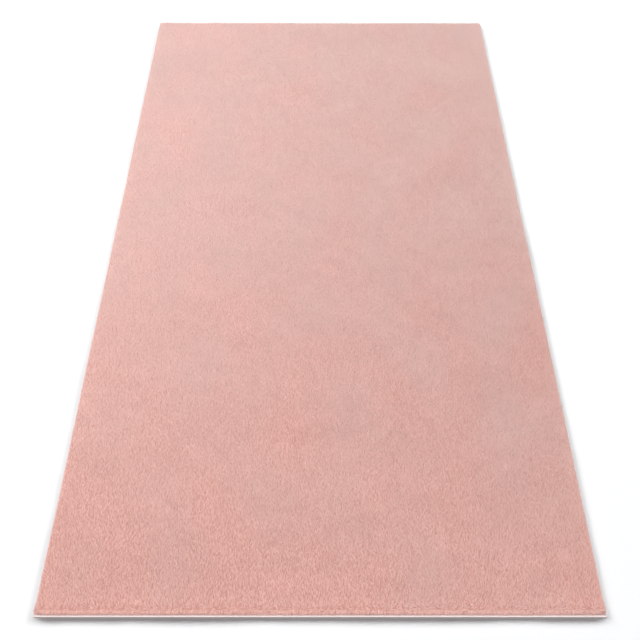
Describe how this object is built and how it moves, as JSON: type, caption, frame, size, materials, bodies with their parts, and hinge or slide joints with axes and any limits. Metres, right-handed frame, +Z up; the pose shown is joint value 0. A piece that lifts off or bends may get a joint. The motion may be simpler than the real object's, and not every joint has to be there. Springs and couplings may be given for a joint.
{
  "type": "plush shag rug",
  "caption": "Plain rectangular plush rug with a short, dense pile and a narrow serged edge, lying flat on the floor.",
  "frame": {"origin": "middle of the underside, on the floor that the rug lies on", "axes": "+X across the rug, +Y along its length, +Z up out of the pile"},
  "size_m": [0.8, 1.5, 0.0142],
  "materials": {
    "pile_yarn": "soft powder-pink plush with a faint sheen",
    "edge_yarn": "matt pale pink serging yarn"
  },
  "bodies": {
    "root": {"pile_fabric": "pile_yarn", "serged_edge_front": "edge_yarn", "serged_edge_right": "edge_yarn", "serged_edge_back": "edge_yarn", "serged_edge_left": "edge_yarn"}
  },
  "joints": []
}
